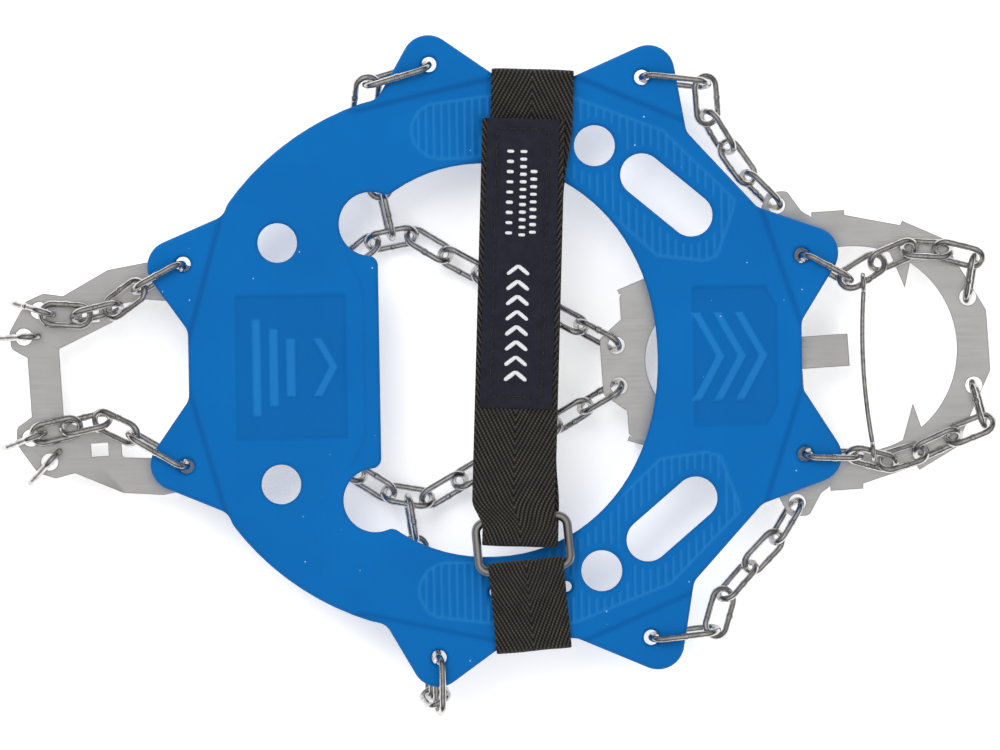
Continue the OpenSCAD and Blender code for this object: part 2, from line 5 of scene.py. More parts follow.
import bmesh
import bpy
import numpy as np
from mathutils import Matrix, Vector

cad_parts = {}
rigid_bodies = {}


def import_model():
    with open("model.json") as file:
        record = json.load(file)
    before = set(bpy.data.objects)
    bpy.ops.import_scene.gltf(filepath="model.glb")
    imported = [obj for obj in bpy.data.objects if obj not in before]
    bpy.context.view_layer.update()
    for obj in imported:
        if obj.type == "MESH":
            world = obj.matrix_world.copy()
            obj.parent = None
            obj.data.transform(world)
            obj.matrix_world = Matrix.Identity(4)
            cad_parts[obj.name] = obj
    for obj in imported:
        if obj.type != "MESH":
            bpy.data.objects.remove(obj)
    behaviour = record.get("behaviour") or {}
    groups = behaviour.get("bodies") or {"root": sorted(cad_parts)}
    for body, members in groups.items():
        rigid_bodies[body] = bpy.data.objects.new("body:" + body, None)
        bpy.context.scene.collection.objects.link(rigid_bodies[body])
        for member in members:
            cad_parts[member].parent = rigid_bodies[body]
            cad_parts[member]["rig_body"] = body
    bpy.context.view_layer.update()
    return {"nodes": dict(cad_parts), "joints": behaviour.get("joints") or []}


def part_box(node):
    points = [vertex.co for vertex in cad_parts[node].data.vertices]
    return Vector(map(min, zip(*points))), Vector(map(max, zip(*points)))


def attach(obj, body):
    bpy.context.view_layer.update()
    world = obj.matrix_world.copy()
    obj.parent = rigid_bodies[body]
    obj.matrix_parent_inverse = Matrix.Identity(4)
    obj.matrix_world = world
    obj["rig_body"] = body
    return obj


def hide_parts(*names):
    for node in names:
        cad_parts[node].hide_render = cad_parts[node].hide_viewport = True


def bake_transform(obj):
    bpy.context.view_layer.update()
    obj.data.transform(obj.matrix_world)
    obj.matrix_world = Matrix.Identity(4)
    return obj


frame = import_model()
NODES = frame["nodes"]
JOINTS = {j["name"]: j for j in frame["joints"]}
MM = 0.001
# Where the CAD's centre-line drawing lies in the shared frame, mm
DRAWN_AT = np.array([1.9, 4.5])


def smooth(t):
    """Smooth step of t from 0 to 1."""
    t = np.clip(t, 0, 1)
    return t * t * (3 - 2 * t)


def make_object(name, points_mm, faces, uv=None, smooth_angle=None):
    """New mesh object from points in millimetres. uv holds one pair per point."""
    mesh = bpy.data.meshes.new(name)
    mesh.from_pydata((np.asarray(points_mm) * MM).tolist(), [], faces)
    mesh.validate()
    if uv is not None:
        layer = mesh.uv_layers.new(name="mm")
        loops = np.empty(len(mesh.loops), np.int32)
        mesh.loops.foreach_get("vertex_index", loops)
        layer.data.foreach_set("uv", np.asarray(uv, float)[loops].ravel())
    mesh.shade_smooth()
    if smooth_angle:
        mesh.set_sharp_from_angle(angle=math.radians(smooth_angle))
    obj = bpy.data.objects.new(name, mesh)
    bpy.context.scene.collection.objects.link(obj)
    return obj


# ---------------------------------------------------------------- materials
class Nodes:
    """Short way to write a node material."""

    def __init__(self, name):
        self.material = bpy.data.materials.new(name)
        self.material.use_nodes = True
        self.tree = self.material.node_tree
        self.shader = self.tree.nodes["Principled BSDF"]

    def add(self, kind, **values):
        node = self.tree.nodes.new(kind)
        for key, value in values.items():
            if hasattr(node, key):
                setattr(node, key, value)
            else:
                self.put(value, node.inputs[key.replace("_", " ")])
        return node

    def put(self, value, socket):
        if isinstance(value, bpy.types.NodeSocket):
            self.tree.links.new(value, socket)
        else:
            socket.default_value = value

    def math(self, operation, a, b=0.0, c=0.0):
        node = self.tree.nodes.new("ShaderNodeMath")
        node.operation = operation
        for socket, value in zip(node.inputs, (a, b, c)):
            self.put(value, socket)
        return node.outputs[0]

    def mix(self, factor, a, b):
        node = self.tree.nodes.new("ShaderNodeMix")
        node.data_type = "RGBA"
        self.put(factor, node.inputs[0])
        self.put(a, node.inputs[6])
        self.put(b, node.inputs[7])
        return node.outputs[2]

    def ramp(self, value, stops):
        node = self.tree.nodes.new("ShaderNodeValToRGB")
        ramp = node.color_ramp
        while len(ramp.elements) < len(stops):
            ramp.elements.new(0.5)
        for element, (place, level) in zip(ramp.elements, stops):
            element.position = place
            element.color = (level, level, level, 1)
        self.put(value, node.inputs[0])
        return node.outputs[0]

    def place(self, scale=1.0):
        """Object coordinates in millimetres, times scale."""
        coord = self.tree.nodes.new("ShaderNodeTexCoord")
        mapping = self.tree.nodes.new("ShaderNodeMapping")
        self.tree.links.new(coord.outputs["Object"], mapping.inputs[0])
        factors = scale if isinstance(scale, tuple) else (scale,) * 3
        mapping.inputs["Scale"].default_value = tuple(f / MM for f in factors)
        return mapping.outputs[0]

    def uv(self):
        """The two mm coordinates of a sewn piece: across and along."""
        node = self.tree.nodes.new("ShaderNodeUVMap")
        node.uv_map = "mm"
        split = self.tree.nodes.new("ShaderNodeSeparateXYZ")
        self.tree.links.new(node.outputs[0], split.inputs[0])
        return split.outputs[0], split.outputs[1]

    def noise(self, vector, scale, detail=3.0):
        node = self.tree.nodes.new("ShaderNodeTexNoise")
        self.put(vector, node.inputs["Vector"])
        node.inputs["Scale"].default_value = scale
        node.inputs["Detail"].default_value = detail
        return node.outputs[0]

    def bump(self, height, distance_mm, strength=1.0, under=None):
        node = self.tree.nodes.new("ShaderNodeBump")
        node.inputs["Strength"].default_value = strength
        node.inputs["Distance"].default_value = distance_mm * MM
        self.put(height, node.inputs["Height"])
        if under is not None:
            self.put(under, node.inputs["Normal"])
        return node.outputs[0]

    def finish(self, **values):
        for key, value in values.items():
            self.put(value, self.shader.inputs[key.replace("_", " ")])
        return self.material


def srgb(r, g, b):
    """Linear colour of an sRGB colour given in 0 to 255."""
    return tuple(((c / 255 + 0.055) / 1.055) ** 2.4 if c > 10 else c / 255 / 12.92 for c in (r, g, b)) + (1,)


def wave(n, value, pitch):
    """0 to 1 sine wave of a millimetre value."""
    return n.math("MULTIPLY_ADD", n.math("SINE", n.math("MULTIPLY", value, 2 * math.pi / pitch)), 0.5, 0.5)


def elastomer():
    n = Nodes("elastomer_blue")
    place = n.place()
    cloud = n.noise(place, 0.035, 2)
    tone = n.mix(cloud, srgb(0, 88, 153), srgb(0, 99, 170))
    # The harness's relief attribute holds painted light: above zero a painted highlight colour is mixed in,
    # below zero a painted shade colour.
    relief = n.add("ShaderNodeAttribute", attribute_name="relief").outputs["Fac"]
    painted_highlight = n.math("MULTIPLY", n.math("MAXIMUM", relief, 0.0), 0.55)
    painted_shade = n.math("MULTIPLY", n.math("MINIMUM", relief, 0.0), -0.6)
    tone = n.mix(painted_highlight, tone, srgb(60, 150, 210))
    tone = n.mix(painted_shade, tone, srgb(0, 56, 112))
    dust = n.add("ShaderNodeTexVoronoi", feature="F1")
    n.put(place, dust.inputs["Vector"])
    dust.inputs["Scale"].default_value = 0.36
    split = n.add("ShaderNodeSeparateColor")
    n.put(dust.outputs["Color"], split.inputs[0])
    chosen = n.math("GREATER_THAN", split.outputs[0], 0.82)
    speck = n.math("LESS_THAN", dust.outputs["Distance"], n.math("MULTIPLY", split.outputs[1], 0.09))
    speck = n.math("MULTIPLY", n.math("MULTIPLY", speck, chosen), 0.7)
    colour = n.mix(speck, tone, srgb(190, 215, 235))
    grain = n.bump(n.noise(place, 5.0, 4), 0.03, 0.35)
    skin = n.bump(n.noise(place, 0.55, 3), 0.12, 0.5, grain)
    rough = n.math("MULTIPLY_ADD", n.noise(place, 0.4, 4), 0.16, 0.44)
    return n.finish(Base_Color=colour, Roughness=rough, Normal=skin, Specular_IOR_Level=0.12)


def herringbone(name, dark, light, pitch, column):
    """Woven webbing: diagonal ribs that turn at each column, built of knots."""
    n = Nodes(name)
    across, along = n.uv()
    fold = n.math("PINGPONG", across, column)
    rib = wave(n, n.math("MULTIPLY_ADD", fold, 1.9, along), pitch)
    knot = wave(n, n.math("MULTIPLY_ADD", fold, -0.7, along), pitch * 0.42)
    thread = wave(n, across, 0.42)
    height = n.math("MULTIPLY", rib, n.math("MULTIPLY_ADD", knot, 0.5, 0.5))
    height = n.math("MULTIPLY_ADD", thread, 0.18, height)
    tired = n.noise(n.place(), 0.25, 4)
    # Painted highlight: rib and knot crests coloured lighter, its strength varied by random noise.
    shade = n.math("MULTIPLY", n.math("POWER", height, 1.6), n.math("MULTIPLY_ADD", tired, 0.9, 0.35))
    colour = n.mix(shade, dark, light)
    fuzz = n.bump(n.noise(n.place(), 6.0, 5), 0.08, 0.5)
    normal = n.bump(height, 0.45, 1.0, fuzz)
    return n.finish(Base_Color=colour, Roughness=0.82, Normal=normal, Sheen_Weight=0.08,
                    Specular_IOR_Level=0.2)


def label_weave():
    """Fine flat weave of the sewn-on label."""
    n = Nodes("label_weave")
    across, along = n.uv()
    warp = wave(n, across, 0.42)
    weft = wave(n, along, 0.36)
    height = n.math("MULTIPLY", warp, weft)
    patchy = n.noise(n.place(), 0.3, 5)
    patchy = n.math("MULTIPLY_ADD", patchy, 1.0, 0.3)
    # Painted highlight on the weave crossings, patchy at random.
    shade = n.math("MULTIPLY", n.math("MULTIPLY_ADD", height, 0.6, 0.3), patchy)
    colour = n.mix(shade, srgb(15, 16, 23), srgb(52, 54, 68))
    normal = n.bump(height, 0.12, 0.8, n.bump(n.noise(n.place(), 1.2, 4), 0.15, 0.5))
    return n.finish(Base_Color=colour, Roughness=0.78, Normal=normal, Specular_IOR_Level=0.2)


def thread(name, colour):
    n = Nodes(name)
    twist = wave(n, n.math("ADD", *n.uv()), 0.5)
    # light is a lit copy of the colour, used as a painted highlight along the twist's crests.
    light = tuple(min(1, 2.2 * c) for c in colour[:3]) + (1,)
    shade = n.mix(n.math("MULTIPLY", twist, n.noise(n.place(), 3, 3)), colour, light)
    return n.finish(Base_Color=shade, Roughness=0.6, Normal=n.bump(twist, 0.08, 0.8), Sheen_Weight=0.2)


EDGE_SOFTNESS = 0.5 * MM


def satin_steel(name, tint, rough, grain=(0.06, 1.6, 1.0), mottling=0.5):
    """Sheet steel: fine drawn grain, faint tumbling marks, and convex edges lighter from wear and a painted
    edge highlight.
    """
    n = Nodes(name)
    lines = n.noise(n.place(grain), 1.0, 5)
    marks = n.noise(n.place(), 0.14, 5)
    broad = n.noise(n.place(), 0.018, 2)
    scratch = n.noise(n.place((0.9, 0.05, 0.5)), 1.0, 3)
    scratch = n.ramp(scratch, ((0.6, 0.0), (0.72, 1.0)))
    tone = n.mix(n.math("MULTIPLY", marks, mottling), tint, tuple(0.72 * c for c in tint[:3]) + (1,))
    tone = n.mix(n.ramp(broad, ((0.36, 0.0), (0.64, 0.75))), tone, tuple(0.6 * c for c in tint[:3]) + (1,))
    # Convex edges lighter: partly wear, partly a painted edge highlight.
    edge = n.add("ShaderNodeNewGeometry").outputs["Pointiness"]
    edge_wear_and_highlight = n.ramp(edge, ((0.5, 0.0), (0.62, 0.7)))
    tone = n.mix(edge_wear_and_highlight, tone, (0.9, 0.89, 0.87, 1))
    gloss = n.math("MULTIPLY_ADD", lines, 0.22, rough - 0.1)
    gloss = n.math("MULTIPLY_ADD", marks, 0.12, gloss)
    soft = n.add("ShaderNodeBevel", samples=6)
    soft.inputs["Radius"].default_value = EDGE_SOFTNESS
    normal = n.bump(lines, 0.02, 0.45, n.bump(scratch, 0.02, 0.3, soft.outputs[0]))
    normal = n.bump(marks, 0.5, 0.12, n.bump(broad, 3.0, 0.35, normal))
    return n.finish(Base_Color=tone, Metallic=1.0, Roughness=gloss, Normal=normal)


def wire_steel(name, tint, rough):
    """Bright tumbled wire with small dents and a darker skin in places."""
    n = Nodes(name)
    patch = n.noise(n.place(), 0.5, 4)
    pits = n.noise(n.place(), 2.4, 4)
    tone = n.mix(n.ramp(patch, ((0.4, 0.0), (0.7, 1.0))), tint, tuple(0.62 * c for c in tint[:3]) + (1,))
    gloss = n.math("MULTIPLY_ADD", pits, 0.2, rough - 0.06)
    normal = n.bump(pits, 0.05, 0.3, n.bump(patch, 0.2, 0.25))
    return n.finish(Base_Color=tone, Metallic=1.0, Roughness=gloss, Normal=normal)


ELASTOMER = elastomer()
WEBBING = herringbone("webbing_herringbone", srgb(11, 11, 12), srgb(84, 78, 72), 2.45, 40 / 3)
LABEL = label_weave()
MARK = thread("label_mark_thread", srgb(196, 198, 202))
STITCH = thread("stitch_thread", srgb(8, 8, 10))
HOOKS = thread("hook_tape", srgb(20, 20, 22))
PLATE = satin_steel("plate_satin_steel", (0.6, 0.57, 0.535, 1), 0.32)
RING = satin_steel("ring_steel", (0.6, 0.56, 0.52, 1), 0.26, (1.2, 1.2, 1.2))
CHAIN = wire_steel("chain_steel", (0.66, 0.64, 0.62, 1), 0.17)


# ---------------------------------------------------------------- harness
# All sizes from here on are in millimetres
HARNESS_BOX = [np.array(c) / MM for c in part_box("harness")]
HARNESS_TOP = HARNESS_BOX[1][2]
HARNESS_BOTTOM = HARNESS_BOX[0][2]
GRIP_PITCH = 2.35
GRID = GRIP_PITCH / 4
REACH = 5.0
BODY_DROP = 0.8
TOP_FILLET = 1.1
BOTTOM_FILLET = 0.5
GRIP_HEIGHT = 0.4

# Raised tab faces: the tab's hole and the two ends of the line where the face steps down
TAB_FACES = [
    ((-95.8, 30.7), (-84.8, 42.6), (-92.7, 14.5)),
    ((-20.1, 90.1), (-31.5, 78.9), (-4.6, 84.9)),
    ((44.5, 85.1), (30.5, 83.1), (53.1, 73.4)),
    ((92.2, 30.2), (81.2, 41.4), (89.5, 16.1)),
]
STEP_W = 3.0
STEP_SHADE = 2.2
TAB_HOLE_R = 2.3
SLOT_END = np.array([-4.18, 70.61])
REAR_PANEL = [(-80.5, -23.5), (-46.5, -23.5), (-46.5, 21), (-80.5, 21)]
FRONT_PANEL = [(58.5, -21.5), (81, -21.5), (84.6, -14.8), (84.6, 14.8), (81, 21.5), (58.5, 21.5)]
PANEL_DEPTH = 0.6
MARK_HEIGHT = 0.5
FRONT_GRIP = [(14, 82), (23, 79.6), (28, 77.6), (50.7, 68.8), (72, 47.4), (71.4, 43.9), (66.4, 30.4),
              (62.3, 29.1), (48.3, 30.9), (36, 42.2), (25.3, 50.8), (14, 56.5)]
REAR_GRIP = [(8, 61.8)] + [(-17 + 8.8 * math.cos(a), 70 + 8.6 * math.sin(a))
                           for a in np.radians(range(-95, -266, -19))] + [(8, 81.5)]


def section(node, z):
    """Segments where the level plane z cuts a CAD node's mesh."""
    mesh = NODES[node].data
    points = np.empty(len(mesh.vertices) * 3)
    mesh.vertices.foreach_get("co", points)
    points = points.reshape(-1, 3) / MM
    mesh.calc_loop_triangles()
    corners = np.empty(len(mesh.loop_triangles) * 3, np.int32)
    mesh.loop_triangles.foreach_get("vertices", corners)
    triangles = points[corners.reshape(-1, 3)]
    above = triangles[:, :, 2] > z
    segments = []
    for t in triangles[above.any(1) & ~above.all(1)]:
        ends = []
        for a, b in ((0, 1), (1, 2), (2, 0)):
            if (t[a, 2] > z) != (t[b, 2] > z):
                share = (z - t[a, 2]) / (t[b, 2] - t[a, 2])
                ends.append(t[a, :2] + share * (t[b, :2] - t[a, :2]))
        segments.append(ends)
    return np.array(segments)


def depth_field(segments, xs, ys):
    """Distance of each grid point from the outline, positive inside, cut off at REACH."""
    a, b = segments[:, 0], segments[:, 1]
    inside = np.zeros((len(xs), len(ys)), bool)
    for j, y in enumerate(ys):
        hit = (a[:, 1] > y) != (b[:, 1] > y)
        share = (y - a[hit, 1]) / (b[hit, 1] - a[hit, 1])
        crossings = np.sort(a[hit, 0] + share * (b[hit, 0] - a[hit, 0]))
        inside[:, j] = np.searchsorted(crossings, xs) % 2 == 1
    depth = np.full(inside.shape, REACH)
    for p, q in segments:
        low, high = np.minimum(p, q) - REACH, np.maximum(p, q) + REACH
        i0, i1 = np.searchsorted(xs, (low[0], high[0]))
        j0, j1 = np.searchsorted(ys, (low[1], high[1]))
        x, y = np.meshgrid(xs[i0:i1], ys[j0:j1], indexing="ij")
        d = q - p
        t = np.clip(((x - p[0]) * d[0] + (y - p[1]) * d[1]) / max(d @ d, 1e-12), 0, 1)
        distance = np.hypot(x - p[0] - t * d[0], y - p[1] - t * d[1])
        np.minimum(depth[i0:i1, j0:j1], distance, out=depth[i0:i1, j0:j1])
    return np.where(inside, depth, -depth)


def tighten(segments):
    """Draw the elastomer closer round the wires in the tab holes and round the ends of the strap slots."""
    points = segments.reshape(-1, 2)
    for hx, hy in (f[0] for f in TAB_FACES):
        for side in (-1, 1):
            from_hole = points - (np.array([hx, side * hy]) + DRAWN_AT)
            distance = np.hypot(*from_hole.T)
            close = distance < 3.2
            points[close] -= from_hole[close] * (1 - TAB_HOLE_R / distance[close])[:, None]
    for side, inset in ((1, 2.4), (-1, 1.4)):
        from_end = points - (SLOT_END * (1, side) + DRAWN_AT)
        close = (np.hypot(*from_end.T) < 1.7) & (from_end[:, 0] < 0.05)
        points[close] += inset * np.array([0.998, -0.061 * side])
    return segments


def outline_depth(outline, x, y):
    """Distance inside a closed outline, negative outside."""
    inside = np.zeros(np.shape(x), bool)
    best = np.full(np.shape(x), 1e9)
    for (ax, ay), (bx, by) in zip(outline, outline[1:] + outline[:1]):
        dx, dy = bx - ax, by - ay
        t = np.clip(((x - ax) * dx + (y - ay) * dy) / (dx * dx + dy * dy), 0, 1)
        best = np.minimum(best, np.hypot(x - ax - t * dx, y - ay - t * dy))
        if dy:
            inside ^= ((ay > y) != (by > y)) & (x < ax + (y - ay) * dx / dy)
    return np.where(inside, best, -best)


def sheet(xs, ys, depth):
    """Points (x, y, depth), faces and rim edges of the area where depth is above zero."""
    inside = depth > 0
    index = np.full(inside.shape, -1)
    i, j = np.nonzero(inside)
    index[i, j] = np.arange(len(i))
    points = np.column_stack([xs[i], ys[j], depth[i, j]]).tolist()
    corner = [inside[:-1, :-1], inside[1:, :-1], inside[1:, 1:], inside[:-1, 1:]]
    count = sum(c.astype(int) for c in corner)
    ci, cj = np.nonzero(count == 4)
    corners = [index[ci, cj], index[ci + 1, cj], index[ci + 1, cj + 1], index[ci, cj + 1]]
    faces = np.column_stack(corners).tolist()
    rim, known = [], {}

    def crossing(p, q):
        key = (min(p, q), max(p, q))
        if key not in known:
            share = depth[p] / (depth[p] - depth[q])
            known[key] = len(points)
            points.append([xs[p[0]] + share * (xs[q[0]] - xs[p[0]]),
                           ys[p[1]] + share * (ys[q[1]] - ys[p[1]]), 0.0])
        return known[key]

    for ci, cj in zip(*np.nonzero((count > 0) & (count < 4))):
        ring = [(ci, cj), (ci + 1, cj), (ci + 1, cj + 1), (ci, cj + 1)]
        face, cuts = [], []
        for p, q in zip(ring, ring[1:] + ring[:1]):
            if inside[p]:
                face.append(int(index[p]))
            if inside[p] != inside[q]:
                cuts.append((len(face), bool(inside[p])))
                face.append(crossing(p, q))
        faces.append(face)
        for place, leaving in cuts:
            if leaving:
                rim.append((face[place], face[(place + 1) % len(face)]))
    return np.array(points), faces, rim


def fillet(depth, radius):
    """Drop of a rounded edge at a given depth inside the outline."""
    left = radius - np.clip(depth, 0, radius)
    return radius - np.sqrt(np.maximum(radius * radius - left * left, 0))


def chevron(x, y, tip, half_span, thickness, slope=0.55):
    """Depth inside a chevron that points to +X."""
    return np.minimum(thickness / 2 - abs(x - tip + slope * abs(y)), half_span - abs(y))


def harness_relief(x, y, depth):
    """Height of the harness's upper face over its highest plane, and the painted light on it: painted
    highlight on rib crests, grip rims and marks, painted shade along the tab steps and in the recessed
    panels.
    """
    x, y = x - DRAWN_AT[0], y - DRAWN_AT[1]
    side = abs(y)
    tone = np.zeros(x.shape)
    height = np.full(x.shape, -BODY_DROP)
    for hole, a, b in TAB_FACES:
        along = np.array(b) - a
        normal = np.array([-along[1], along[0]]) / np.hypot(*along)
        if normal @ (np.array(hole) - a) < 0:
            normal = -normal
        above = (x - a[0]) * normal[0] + (side - a[1]) * normal[1]
        near = smooth((30 - np.hypot(x - hole[0], side - hole[1])) / 5)
        step = smooth(above / STEP_W + 0.5) * near
        height = np.maximum(height, -BODY_DROP + BODY_DROP * step)
        # Painted shade: a darker band along the slope of each tab step.
        tone -= STEP_SHADE * step * (1 - step) * smooth((above / STEP_W + 0.6) * 4)
    for zone in (FRONT_GRIP, REAR_GRIP):
        within = outline_depth(zone, x, side)
        share = smooth(within / 0.7) * smooth((depth - 2.0) / 0.7)
        ribs = 0.5 + 0.5 * np.cos(2 * np.pi * x / GRIP_PITCH)
        rim = np.exp(-(within / 0.42) ** 2) * smooth((depth - 1.2) / 0.8)
        height += share * (GRIP_HEIGHT * ribs ** 2 - 0.14) + 0.22 * rim
        # Painted highlight on the rib crests and on the rim round each grip zone.
        tone += 0.4 * share * ribs ** 5 + 0.35 * rim
    for panel in (REAR_PANEL, FRONT_PANEL):
        within = outline_depth(panel, x, y)
        height -= PANEL_DEPTH * smooth(within / 0.8)
        # Painted shade in the recessed panels.
        tone -= 0.3 * smooth(within / 0.8)
        height += 0.12 * np.exp(-((within + 0.8) / 0.7) ** 2)
    # Lower flange along the rear edge of the opening
    flange = -42 - 4.8 * np.clip((side - 20) / 12, 0, 2) ** 1.6
    height -= 0.5 * smooth((x - flange) / 1.4) * smooth((35 - side) / 4) * (x < -30)
    # Plain direction marks in the two panels, standing up from them, each with a painted highlight
    for tip in (67, 73.5, 80):
        mark = smooth(chevron(x, y, tip, 13.5, 3.0) / 0.6 + 0.3)
        height += MARK_HEIGHT * mark
        tone += 0.6 * mark
    for k, half in enumerate((15, 12, 9)):
        bar = np.minimum(1.5 - abs(x + 74 - 5.2 * k), half - abs(y + 1.2))
        height += MARK_HEIGHT * smooth(bar / 0.6 + 0.3)
        tone += 0.6 * smooth(bar / 0.6 + 0.3)
    mark = smooth(chevron(x, y + 1.2, -50.6, 9, 3.0) / 0.6 + 0.3)
    height += MARK_HEIGHT * mark
    tone += 0.6 * mark
    return height - fillet(depth, TOP_FILLET), tone


def build_harness():
    segments = tighten(section("harness", (HARNESS_TOP + HARNESS_BOTTOM) / 2))
    low, high = HARNESS_BOX[0] - 2 * GRID, HARNESS_BOX[1] + 2 * GRID
    xs = np.arange(math.floor(low[0] / GRID), math.ceil(high[0] / GRID)) * GRID
    ys = np.arange(math.floor(low[1] / GRID), math.ceil(high[1] / GRID)) * GRID + 0.01
    points, faces, rim = sheet(xs, ys, depth_field(segments, xs, ys))
    x, y, depth = points.T
    relief, tone = harness_relief(x, y, depth)
    top = np.column_stack([x, y, HARNESS_TOP + relief])
    bottom = np.column_stack([x, y, HARNESS_BOTTOM + fillet(depth, BOTTOM_FILLET)])
    count = len(points)
    walls = [(b, a, a + count, b + count) for a, b in rim]
    under = [[v + count for v in reversed(f)] for f in faces]
    piece = make_object("harness_moulding", np.vstack([top, bottom]), faces + under + walls)
    # The relief attribute stores the painted light from harness_relief: painted highlight above zero,
    # painted shade below.
    attribute = piece.data.attributes.new("relief", "FLOAT", "POINT")
    attribute.data.foreach_set("value", np.concatenate([tone, np.zeros(count)]))
    piece.data.materials.append(ELASTOMER)
    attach(piece, "harness")
    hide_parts("harness")
    return piece


# ---------------------------------------------------------------- strap
FLAP_JOINT = JOINTS["strap_flap_open"]
RING_JOINT = JOINTS["strap_ring_tilt"]
WEB_T = 1.2
WEB_W = 24.5
FOLD_W = 22.6
FLAP_HINGE_Y = -125.6
RING_BAR_Y = -7.65


def strap_frame(joint, local_y):
    """Placing function of a strap's own frame: its X is the joint's axis."""
    across = np.array(joint["axis"][:2], float)
    along = np.array([-across[1], across[0]])
    origin = np.array(joint["pos_m"][:2]) / MM - local_y * along

    def place(points):
        points = np.asarray(points, float)
        flat = origin + points[:, :1] * across + points[:, 1:2] * along
        return np.column_stack([flat, points[:, 2]])
    return place


upper = strap_frame(FLAP_JOINT, FLAP_HINGE_Y)
lower = strap_frame(RING_JOINT, RING_BAR_Y)
FLAP_Z = FLAP_JOINT["pos_m"][2] / MM
BAR_Z = RING_JOINT["pos_m"][2] / MM
WEB_Z = HARNESS_TOP + 0.3 + WEB_T / 2
UNDER_Z = HARNESS_BOTTOM - 0.3 - WEB_T / 2
FLAP_TOP_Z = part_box("label_patch")[0][2] / MM - WEB_T / 2 - 0.05


def round_corners(points, radius, steps=6):
    """Polyline with each inner corner turned into an arc-like curve."""
    points = [np.array(p, float) for p in points]
    out = [points[0]]
    for before, p, after in zip(points, points[1:], points[2:]):
        a, b = before - p, after - p
        reach = min(radius, 0.49 * np.linalg.norm(a), 0.49 * np.linalg.norm(b))
        a, b = p + a / np.linalg.norm(a) * reach, p + b / np.linalg.norm(b) * reach
        for t in np.linspace(0, 1, steps):
            out.append((1 - t) ** 2 * a + 2 * t * (1 - t) * p + t * t * b)
    return out + [points[-1]]


def resample(path, step):
    path = np.array(path)
    lengths = np.concatenate([[0], np.cumsum(np.linalg.norm(np.diff(path, axis=0), axis=1))])
    marks = np.linspace(0, lengths[-1], max(4, int(lengths[-1] / step)))
    return np.column_stack([np.interp(marks, lengths, path[:, k]) for k in (0, 1)]), marks


def ribbon(name, path, place, width, shift=None, thickness=WEB_T, step=0.7, ripple=0.12, crease=None):
    """Webbing swept along a (y, z) path. width and shift take the (y, z) stations and give millimetres."""
    stations, lengths = resample(path, step)
    tangent = np.gradient(stations, axis=0)
    tangent /= np.linalg.norm(tangent, axis=1)[:, None]
    normal = np.column_stack([-tangent[:, 1], tangent[:, 0]])
    widths = width(stations) if callable(width) else np.full(len(stations), float(width))
    shifts = shift(stations) if callable(shift) else np.full(len(stations), float(shift or 0))
    across = 36
    half = thickness / 2
    top = [(s, half * (1 - 0.18 * abs(2 * s) ** 6)) for s in np.linspace(-0.5, 0.5, across)]
    turn = [(0.5 + 0.45 * half / WEB_W * math.cos(a), half * 0.82 * math.sin(a)) for a in (0.7, 0, -0.7)]
    bottom = [(s, -t) for s, t in reversed(top)]
    back = [(-s, t) for s, t in reversed(turn)]
    profile = np.array(top + turn + bottom + back)
    ring = len(profile)
    points, uv = [], []
    for k, (centre, out) in enumerate(zip(stations, normal)):
        x = profile[:, 0] * widths[k] + shifts[k]
        swell = np.sin(lengths[k] * 0.42 + 3.1 * profile[:, 0]) * np.sin(x * 0.31 + k * 0.013)
        lift = profile[:, 1] + ripple * swell
        if crease is not None:
            lift = lift + crease(x, centre)
        points.append(np.column_stack([x, centre[0] + out[0] * lift, centre[1] + out[1] * lift]))
        uv.append(np.column_stack([profile[:, 0] * WEB_W + 40, np.full(ring, lengths[k])]))
    faces = []
    for k in range(len(stations) - 1):
        for i in range(ring):
            a, b = k * ring + i, k * ring + (i + 1) % ring
            faces.append((a, b, b + ring, a + ring))
    last = (len(stations) - 1) * ring
    faces.append(list(range(ring))[::-1])
    faces.append([last + i for i in range(ring)])
    piece = make_object(name, place(np.vstack(points)), faces, np.vstack(uv), smooth_angle=60)
    return piece


def arc(centre, radius, start, end, steps=12):
    return [(centre[0] + radius * math.cos(a), centre[1] + radius * math.sin(a))
            for a in np.radians(np.linspace(start, end, steps))]


BAND_Y = 14.6
UPPER_LEG_Y = -3.25
FOLD_Y = -127.2
FOLD_R = (FLAP_Z - WEB_Z) / 2
FOLD_Z = (FLAP_Z + WEB_Z) / 2
FLAP_SHIFT = -2.4


def upper_width(stations):
    """Full width, narrower in the slot and where the ring pinches the webbing."""
    y, z = stations.T
    in_slot = smooth((-1.0 - y) / 6 + 0.5) * (z < WEB_Z - 0.7) * (y > -10)
    covered = smooth(-y / 24) * (z > WEB_Z - 0.7)
    return WEB_W - (WEB_W - 20.8) * in_slot - (WEB_W - FOLD_W) * covered


def upper_shift(stations):
    y, z = stations.T
    in_slot = smooth((-1.0 - y) / 6 + 0.5) * (z < WEB_Z - 0.7) * (y > -10)
    covered = smooth(-y / 24) * smooth((y + 118) / 16) * (z > WEB_Z - 0.7)
    return -1.6 * in_slot - 1.2 * covered


